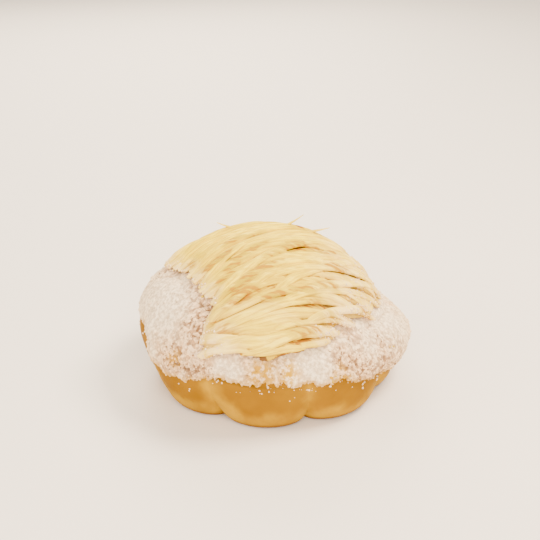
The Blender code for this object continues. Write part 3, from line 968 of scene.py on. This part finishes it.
def finish_tree(tree, geometry, finish, result):
    """Ends a tree: real geometry, smooth, with its material."""
    real = add(tree, "GeometryNodeRealizeInstances", {"Geometry": geometry})
    shaded = add(tree, "GeometryNodeSetShadeSmooth", {"Geometry": real.outputs[0]})
    inputs = {"Geometry": shaded.outputs[0], "Material": finish}
    coloured = add(tree, "GeometryNodeSetMaterial", inputs)
    tree.links.new(coloured.outputs[0], result)


def relief_tree():
    """Lumps, crumbs and pits in a surface, as deep as its relief value, which keeps its hollows."""
    sizes = ("lump size", "lump depth", "crumb size", "crumb depth")
    tree, given, result = new_geometry_tree("relief", sizes)
    lump_scale = maths(tree, "DIVIDE", 1.0, given["lump size"])
    lump = maths(tree, "SUBTRACT", clouds(tree, lump_scale, 3.0, 0.6), 0.5)
    crumb_scale = maths(tree, "DIVIDE", 1.0, given["crumb size"])
    inputs = {"Scale": crumb_scale, "Smoothness": 0.4, "Randomness": 1.0}
    crumbs = add(tree, "ShaderNodeTexVoronoi", inputs, feature="SMOOTH_F1")
    crumb = maths(tree, "SUBTRACT", 0.45, crumbs.outputs["Distance"])
    raised = linear(tree, crumb, given["crumb depth"], product(tree, lump, given["lump depth"]))
    raised = product(tree, raised, reading(tree, "relief"))
    hollow = stretch(tree, maths(tree, "ADD", crumb, product(tree, lump, 1.5)), 0.15, -0.35)
    noted = stored(tree, given["geometry"], "hollow", hollow)
    normal = tree.nodes.new("GeometryNodeInputNormal").outputs[0]
    inputs = {"Geometry": noted, "Offset": scaled(tree, normal, raised)}
    moved = add(tree, "GeometryNodeSetPosition", inputs)
    finish_tree(tree, moved.outputs[0], given["finish"], result["geometry"])
    return tree


def strand_tree():
    """Sweeps an uneven oval along each strand, and tapers the strand's ends."""
    sizes = ("step", "taper", "end share", "unevenness")
    tree, given, result = new_geometry_tree("strands", sizes, counts=["sides"])
    line = add(tree, "GeometryNodeMeshToCurve", {"Mesh": given["geometry"]}).outputs[0]
    bent = add(tree, "GeometryNodeCurveSplineType", {"Curve": line}, spline_type="CATMULL_ROM")
    inputs = {"Curve": bent.outputs[0], "Length": given["step"]}
    stepped = add(tree, "GeometryNodeResampleCurve", inputs, mode="LENGTH")
    inputs = {"Curve": stepped.outputs[0], "Normal": reading(tree, "facing", "FLOAT_VECTOR")}
    faced = add(tree, "GeometryNodeSetCurveNormal", inputs, mode="FREE")
    along = tree.nodes.new("GeometryNodeSplineParameter").outputs["Length"]
    marked = stored(tree, faced.outputs[0], "along", along)
    whole = tree.nodes.new("GeometryNodeSplineLength").outputs["Length"]
    nearest = maths(tree, "MINIMUM", maths(tree, "SUBTRACT", whole, along), along)
    tapered = stretch(tree, nearest, 0.0, given["taper"], given["end share"], 1.0)
    swell = maths(tree, "SUBTRACT", clouds(tree, SWELLS, 1.0), 0.5)
    uneven = linear(tree, swell, given["unevenness"], 1.0)
    size = product(tree, tapered, uneven, reading(tree, "width"))
    inputs = {"Resolution": given["sides"], "Radius": 0.5}
    ring = add(tree, "GeometryNodeCurvePrimitiveCircle", inputs)
    inputs = {"Geometry": ring.outputs[0], "Scale": (FLATNESS, 1.0, 1.0)}
    oval = add(tree, "GeometryNodeTransform", inputs)
    around = tree.nodes.new("GeometryNodeSplineParameter").outputs["Factor"]
    section = stored(tree, oval.outputs[0], "around", around)
    inputs = {"Curve": marked, "Profile Curve": section, "Scale": size, "Fill Caps": True}
    swept = add(tree, "GeometryNodeCurveToMesh", inputs)
    finish_tree(tree, swept.outputs[0], given["finish"], result["geometry"])
    return tree


def crumb_tree():
    """Scatters rough little crumbs over a surface, most where its scatter value is high."""
    sizes = ("per square metre", "smallest", "largest")
    tree, given, result = new_geometry_tree("crumbs", sizes, counts=["seed"])
    seed = given["seed"]
    density = product(tree, reading(tree, "scatter"), given["per square metre"])
    inputs = {"Mesh": given["geometry"], "Density": density, "Seed": seed}
    spread = add(tree, "GeometryNodeDistributePointsOnFaces", inputs)
    crumb = add(tree, "GeometryNodeMeshIcoSphere", {"Radius": 0.5, "Subdivisions": 1})
    turned = random_vector(tree, (0.0, 0.0, 0.0), (6.28, 6.28, 6.28), seed)
    share = add(tree, "FunctionNodeRandomValue", {"Seed": seed}, data_type="FLOAT").outputs[1]
    skewed = maths(tree, "POWER", share, 2.5)
    room = maths(tree, "SUBTRACT", given["largest"], given["smallest"])
    size = linear(tree, skewed, room, given["smallest"])
    shape = random_vector(tree, *CRUMB_SHAPES, seed)
    inputs = {
        "Points": spread.outputs["Points"],
        "Instance": crumb.outputs[0],
        "Rotation": turned,
        "Scale": scaled(tree, shape, size),
    }
    placed = add(tree, "GeometryNodeInstanceOnPoints", inputs)
    finish_tree(tree, placed.outputs[0], given["finish"], result["geometry"])
    return tree


# Shader groups, which more than one material uses.


def grain_group():
    """Fine grain: a bumped normal and a mask of the grains' tops."""
    inputs = {"vector": "Vector", "grain size": "Float", "depth": "Float"}
    outputs = {"normal": "Vector", "tops": "Float"}
    tree, given, result = new_tree("fine grain", "ShaderNodeTree", inputs, outputs)
    scale = maths(tree, "DIVIDE", 1.0, given["grain size"])
    grains = clouds(tree, scale, 4.0, 0.6, given["vector"])
    inputs = {"Height": grains, "Distance": given["depth"], "Strength": 1.0}
    bump = add(tree, "ShaderNodeBump", inputs)
    tree.links.new(bump.outputs[0], result["normal"])
    tree.links.new(stretch(tree, grains, 0.35, 0.65), result["tops"])
    return tree


def drift_group():
    """Blends two colours by soft clouds of a given size."""
    inputs = {"vector": "Vector", "first": "Color", "second": "Color"}
    inputs |= {"cloud size": "Float", "sharpness": "Float"}
    outputs = {"colour": "Color", "mask": "Float"}
    tree, given, result = new_tree("colour drift", "ShaderNodeTree", inputs, outputs)
    scale = maths(tree, "DIVIDE", 1.0, given["cloud size"])
    drifting = clouds(tree, scale, 3.0, 0.55, given["vector"])
    half = linear(tree, given["sharpness"], -0.25, 0.26)
    low, high = maths(tree, "SUBTRACT", 0.5, half), maths(tree, "ADD", 0.5, half)
    mask = stretch(tree, drifting, low, high)
    colour = blended(tree, mask, given["first"], given["second"])
    tree.links.new(colour, result["colour"])
    tree.links.new(mask, result["mask"])
    return tree


def drifted(tree, drift, place, clouds_of):
    """Two colours blended by soft clouds, and the clouds' mask."""
    names = ("first", "second", "cloud size", "sharpness")
    inputs = {"vector": place} | dict(zip(names, clouds_of))
    return add(tree, "ShaderNodeGroup", inputs, node_tree=drift).outputs


def grained(tree, grain, place, size_and_depth):
    """The bumped normal of fine grain, and the mask of its tops."""
    inputs = {"vector": place} | dict(zip(("grain size", "depth"), size_and_depth))
    return add(tree, "ShaderNodeGroup", inputs, node_tree=grain).outputs


# Materials.


def new_material(name, values):
    """A Principled material, its shader, and the object's own coordinates."""
    made = bpy.data.materials.new(name)
    made.use_nodes = True
    shader = made.node_tree.nodes["Principled BSDF"]
    fill(made.node_tree, shader, values)
    place = add(made.node_tree, "ShaderNodeTexCoord").outputs["Object"]
    return made, made.node_tree, shader, place


def kept(tree, name):
    """A shader's reading of a number that a vertex keeps."""
    return add(tree, "ShaderNodeAttribute", attribute_name=name).outputs["Fac"]


def crust_material(grain, drift):
    """Baked crust: deep gold high on the lobes, paler low down and in the valleys, and brown under,
    which is baked brown and painted shade.
    """
    values = {"IOR": 1.4, "Specular IOR Level": 0.04}
    made, tree, shader, place = new_material("crust", values)
    pale = drifted(tree, drift, place, PALE_CRUST)
    deep = drifted(tree, drift, place, DEEP_CRUST)
    deep_gold_share = linear(tree, pale["mask"], 0.3, kept(tree, "browning"))
    height = add(tree, "ShaderNodeSeparateXYZ", {"Vector": place}).outputs["Z"]
    colour = layered(
        tree,
        pale["colour"],
        (stretch(tree, deep_gold_share, 0.25, 1.0), deep["colour"]),
        # baked brown and painted shade near the floor
        (stretch(tree, height, *UNDERSIDE_FADE, 1.0, 0.0), BAKED_AND_SHADED_UNDERSIDE),
    )
    grains = grained(tree, grain, place, CRUST_GRAIN)
    rough = stretch(tree, grains["tops"], 0.0, 1.0, 0.65, 0.50)
    fill(tree, shader, {"Base Color": colour, "Roughness": rough, "Normal": grains["normal"]})
    return made


def sugar_material(grain, drift):
    """Buttercream and sugar: white where it is thick, tan and mottled where butter soaked in, brown in
    its hollows as soaked butter and painted shade.
    """
    values = {"Roughness": 0.9, "Specular IOR Level": 0.2}
    made, tree, shader, place = new_material("sugar", values)
    cream = drifted(tree, drift, place, CREAM)
    soaked_and_shaded = drifted(tree, drift, place, SOAKED_AND_SHADED_HOLLOWS)
    speckle = drifted(tree, drift, place, SPECKLE)["mask"]
    mottled = kept(tree, "mottled")
    depth = linear(tree, speckle, 0.45, kept(tree, "hollow"))
    in_hollows = stretch(tree, depth, 0.42, 0.90)
    colour = layered(
        tree,
        cream["colour"],
        (kept(tree, "white"), THICK_SUGAR),
        (product(tree, mottled, 0.75), BUTTERY_SUGAR),
        (product(tree, speckle, linear(tree, mottled, 0.20, 0.55)), SHADED_SUGAR),
        # painted shade in every hollow, and soaked butter where it is mottled
        (product(tree, in_hollows, linear(tree, mottled, 0.85, 0.22)), soaked_and_shaded["colour"]),
        (product(tree, kept(tree, "thin"), linear(tree, speckle, 0.55, 0.40)), THIN_SUGAR),
        (product(tree, kept(tree, "bare"), stretch(tree, depth, 0.1, 0.7)), BARE_BREAD),
    )
    grains = grained(tree, grain, place, SUGAR_GRAIN)
    fill(tree, shader, {"Base Color": colour, "Normal": grains["normal"]})
    return made


def along_strand(tree):
    """Coordinates that follow a strand, in which every strand has its own pattern."""
    names = ("along", "around", "tone")
    numbers = [product(tree, kept(tree, name), scale) for name, scale in zip(names, STRAND_SCALE)]
    return add(tree, "ShaderNodeCombineXYZ", dict(zip("XYZ", numbers))).outputs[0]


def cheese_material(grain, drift):
    """Grated cheese: painted highlight along the crests, yellow on the sides, painted orange and brown
    shade down in the gaps.
    """
    values = {"Roughness": 0.6, "IOR": 1.4, "Specular IOR Level": 0.05}
    made, tree, shader, place = new_material("cheese", values)
    lengthways = along_strand(tree)
    inputs = {"Vector": place, "Rotation": (0.0, 0.0, BAND_TURN), "Scale": BAND_SCALE}
    turned = add(tree, "ShaderNodeMapping", inputs).outputs[0]
    streaks = drifted(tree, drift, lengthways, YOUNG_CHEESE)
    bands = drifted(tree, drift, turned, CHEESE_BANDS)["mask"]
    spots = drifted(tree, drift, turned, CHEESE_SPOTS)["mask"]
    recess, dust, ripe = (kept(tree, name) for name in ("recess", "dust", "ripe"))
    # high masks the painted highlight on the crests; low and deepest mask the painted shade in the
    # gaps
    high = stretch(tree, recess, 0.10, 0.0)
    low, deepest = stretch(tree, recess, 0.20, 0.50), stretch(tree, recess, 0.65, 0.95)
    undusted = stretch(tree, dust, 0.2, 0.6, 1.0, 0.2)
    colour = layered(
        tree,
        streaks["colour"],
        (linear(tree, bands, 0.30, product(tree, ripe, 0.8)), RIPE_CHEESE),
        # painted highlight on the crests
        (product(tree, high, stretch(tree, bands, 0.8, 0.1), 0.7), PAINTED_CREST_HIGHLIGHT),
        (product(tree, dust, stretch(tree, bands, 1.0, 0.0, 0.45, 1.0)), DUSTED_CHEESE),
        # painted shade in the grooves
        (product(tree, stretch(tree, recess, 0.14, 0.38), 0.65), PAINTED_GROOVE_SHADE),
        # painted shade: orange strokes of the gaps over the ripe stretches
        (product(tree, stretch(tree, ripe, 0.45, 0.80), spots, 0.85), PAINTED_GAP_STROKE),
        # painted shade in the gaps, darkest in the deepest ones
        (product(tree, low, spots, undusted), PAINTED_GAP_SHADE),
        (product(tree, deepest, undusted), PAINTED_DEEPEST_SHADE),
    )
    grains = grained(tree, grain, lengthways, CHEESE_GRAIN)
    fill(tree, shader, {"Base Color": colour, "Normal": grains["normal"]})
    return made


def brown_crumb_material():
    """Crumbs of the brown crust that stuck to the sugar."""
    values = {"Roughness": 0.8, "Specular IOR Level": 0.2}
    made, tree, shader, place = new_material("brown crumbs", values)
    share = clouds(tree, 600.0, 2.0, vector=place)
    fill(tree, shader, {"Base Color": blended(tree, share, *BROWN_CRUMBS)})
    return made


# Pieces.


def dress(piece, node):
    """Makes a finished piece stand for a CAD node: hangs it from the root body and hides the node's
    CAD part.
    """
    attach(piece, "root")
    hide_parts(node)


def evened(grid):
    """A grid with its steps smoothed out."""
    for _ in range(3):
        for axis in (0, 1):
            grid = (grid + np.roll(grid, 1, axis) + np.roll(grid, -1, axis)) / 3
    return grid


def dustiness(points):
    """How much sugar lies on the cheese at each point: most by the edge and on the right."""
    reach = np.array([heap_reach(x, y) for x, y, _ in points])
    across, back = points[:, 0], points[:, 1]
    in_rows = np.clip(1.2 - np.abs(back - DUSTY_ROWS[0]) / DUSTY_ROWS[1], 0, 1)
    right_end = np.clip((across - DUSTY_RIGHT[0]) / DUSTY_RIGHT[1], 0, 1)
    clean = np.clip(1.6 - np.abs(across - CLEAN_FRONT[0]) / CLEAN_FRONT[1], 0, 1)
    clean *= back < CLEAN_BACK
    by_edge = np.clip((reach - 0.88) / 0.2, 0, 1) * (1 - 0.9 * clean)
    return np.clip(0.7 * (by_edge + 0.25 * in_rows + 0.75 * right_end), 0, 1)


def mark_recesses(pieces, coat):
    """Gives every cheese vertex how deep it lies among the shreds, how dusty it is, and how ripe it
    is, which also places painted gap shade.
    """
    skin = BVHTree.FromObject(coat, bpy.context.evaluated_depsgraph_get())
    side = int(2 * PLAN_HALF / CREST_CELL)
    crest = np.zeros((side, side))
    heights = {}
    for piece in pieces:
        points = positions(piece.data)
        lifts = np.array([skin.find_nearest(Vector(point))[3] or 0.0 for point in points])
        columns, rows = ((points[:, :2] + PLAN_HALF) / CREST_CELL).astype(int).T
        np.maximum.at(crest, (rows, columns), lifts)
        heights[piece] = points, rows, columns, lifts
    spread = crest.copy()
    for down in range(-2, 3):
        for right in range(-2, 3):
            spread = np.maximum(spread, np.roll(crest, (down, right), (0, 1)))
    spread, level = evened(spread), evened(crest)
    for piece, (points, rows, columns, lifts) in heights.items():
        narrow = np.clip((level[rows, columns] - lifts) / NARROW_GAP, 0, 1)
        deepest = OPEN_RECESS + (1 - OPEN_RECESS) * narrow
        # recess sets the cheese's painted highlight on the crests and painted shade in the gaps
        recess = np.clip((spread[rows, columns] - lifts) / DEEP_GAP, 0, deepest)
        set_values(piece.data, recess=recess, dust=dustiness(points), ripe=ripeness(points))


def make_cheese(coat, finish):
    """The heap: its core, and the shreds laid on it one after another."""
    pile = Pile()
    shreds = laid_shreds(pile, SEED, BROAD_COUNT, BROAD_WIDTHS, SHRED_LENGTHS, SHRED_WANDER)
    shreds += laid_shreds(pile, SEED + 1, THIN_COUNT, THIN_WIDTHS, THIN_LENGTHS, THIN_WANDER)
    shreds += patching_shreds(pile, SEED + 3)
    strands = add_piece("grated_cheese", strand_mesh(shreds))
    loose = add_piece("cheese_wisps", strand_mesh(wisps()))
    tree = strand_tree()
    run_tree(strands, tree, finish=finish, **SHRED_SWEEP)
    run_tree(loose, tree, finish=finish, **LOOSE_SWEEP)
    core = add_piece("cheese_core", core_mesh())
    core.data.materials.append(finish)
    mark_recesses([strands, loose, core], coat)
    for piece in (strands, loose, core):
        dress(piece, "cheese_shreds")
    return strands


def scatter_crumbs(name, beds, tree, finish, **values):
    """One piece of crumbs that lie on some beds, each a mesh and how thickly they lie on it."""
    gathered = bmesh.new()
    for bed, thickly in beds:
        mesh = bed.copy()
        set_values(mesh, scatter=thickly)
        piece = add_piece(name, mesh)
        run_tree(piece, tree, finish=finish, **values)
        gathered.from_mesh(piece.data)
        bpy.data.objects.remove(piece)
    mesh = bpy.data.meshes.new(name)
    gathered.to_mesh(mesh)
    gathered.free()
    mesh.materials.append(finish)
    return add_piece(name, mesh)


def make_crumbs(crust, coat, strands, sugar, cheese):
    """Sugar crumbs on the coat and below its edge, brown ones, and bits of cheese."""
    tree = crumb_tree()
    points = positions(coat.data)
    outside = values_of(coat.data, "relief") > 0
    open_coat = outside * np.array([heap_reach(x, y) > 0.97 for x, y, _ in points])
    mottled, smoothed = values_of(coat.data, "mottled"), values_of(coat.data, "white")
    clumps = np.array([noise.noise(Vector(point) * 260) for point in positions(crust.data)])
    fallen = values_of(crust.data, "dusted") * np.clip(0.35 + 2.0 * clumps, 0, 1)
    powder = 0.6 * np.clip((values_of(strands.data, "dust") - 0.40) / 0.4, 0, 1)
    beds = [
        (coat.data, open_coat * (0.30 + 0.70 * mottled) * (1 - 0.5 * smoothed)),
        (crust.data, fallen),
        (strands.data, powder),
    ]
    crumbs = scatter_crumbs("sugar_crumbs", beds, tree, sugar, **SUGAR_CRUMBS)
    dress(crumbs, "sugar_coat")
    beds = [(coat.data, open_coat * mottled**2), (crust.data, 0.2 * fallen)]
    flakes = scatter_crumbs("brown_crumbs", beds, tree, brown_crumb_material(), **BROWN_FLAKES)
    dress(flakes, "sugar_coat")
    beds = [(coat.data, open_coat * patchwork(points, CHEESE_PATCHES))]
    bits = scatter_crumbs("cheese_crumbs", beds, tree, cheese, **CHEESE_BITS)
    set_values(bits.data, ripe=np.ones(len(bits.data.vertices)))
    dress(bits, "cheese_shreds")


def make_floor():
    """A pale floor under the bun."""
    low = cad_box[0][2]
    near, far = -FLOOR_REACH, FLOOR_REACH
    corners = [(near, near, low), (far, near, low), (far, far, low), (near, far, low)]
    mesh = bpy.data.meshes.new("floor")
    mesh.from_pydata(corners, [], [(0, 1, 2, 3)])
    mesh.materials.append(new_material("table", {"Roughness": 0.6, "Base Color": TABLE})[0])
    add_piece("floor", mesh)


def aim(thing, place, target):
    """Puts a camera or a light in the scene and turns it to a target."""
    bpy.context.scene.collection.objects.link(thing)
    thing.location = place
    thing.rotation_euler = (Vector(target) - Vector(place)).to_track_quat("-Z", "Y").to_euler()


def light_and_camera():
    """Soft light from all sides, most from above and in front, and the camera in front."""
    world = bpy.data.worlds.new("studio")
    bpy.context.scene.world = world
    world.use_nodes = True
    background = world.node_tree.nodes["Background"]
    fill(world.node_tree, background, {"Color": AIR, "Strength": 1.0})
    for name, place, size, power, colour in LIGHTS:
        data = bpy.data.lights.new(name, "AREA")
        data.size, data.energy, data.color = size, power, colour
        aim(bpy.data.objects.new(name, data), place, MIDDLE)
    data = bpy.data.cameras.new("camera")
    data.lens = LENS
    camera = bpy.data.objects.new("camera", data)
    back, up = math.cos(CAMERA_ELEVATION), math.sin(CAMERA_ELEVATION)
    aim(camera, MIDDLE + Vector((0, -back, up)) * CAMERA_DISTANCE, CAMERA_TARGET)
    bpy.context.scene.camera = camera


def main():
    noise.seed_set(SEED)  # without it, noise_vector would take its seed from the clock
    grain, drift = grain_group(), drift_group()
    relief = relief_tree()
    crust = add_piece("crust_skin", crust_mesh())
    run_tree(crust, relief, finish=crust_material(grain, drift), **CRUST_RELIEF)
    coat = add_piece("sugar_layer", coat_mesh())
    sugar = sugar_material(grain, drift)
    run_tree(coat, relief, finish=sugar, **COAT_RELIEF)
    dress(crust, "bun")
    dress(coat, "sugar_coat")
    cheese = cheese_material(grain, drift)
    strands = make_cheese(coat, cheese)
    make_crumbs(crust, coat, strands, sugar, cheese)
    make_floor()
    light_and_camera()


main()
